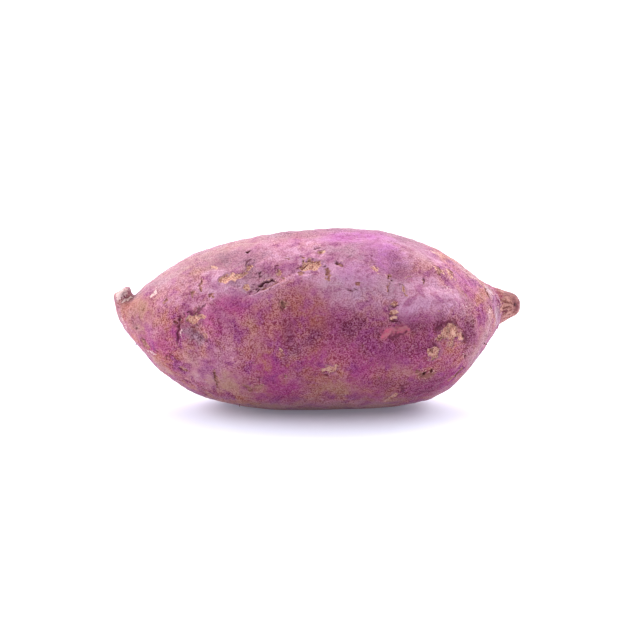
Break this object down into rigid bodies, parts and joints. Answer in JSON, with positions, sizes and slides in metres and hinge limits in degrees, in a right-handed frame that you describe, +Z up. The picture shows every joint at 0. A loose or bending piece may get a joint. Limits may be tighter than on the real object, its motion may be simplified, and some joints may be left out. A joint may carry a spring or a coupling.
{
  "type": "sweet potato",
  "caption": "Whole purple-skinned sweet potato with a broken stem stub and a tapered tail, lying on its flattened belly.",
  "frame": {"origin": "on the surface that the root rests on, under the middle of its box", "axes": "+X along the root from the stem stub to the tail, +Y to the back, +Z up"},
  "size_m": [0.16, 0.0728, 0.0703],
  "materials": {
    "purple_skin": "matte"
  },
  "bodies": {
    "root": {"sweet_potato": "purple_skin"}
  },
  "joints": []
}
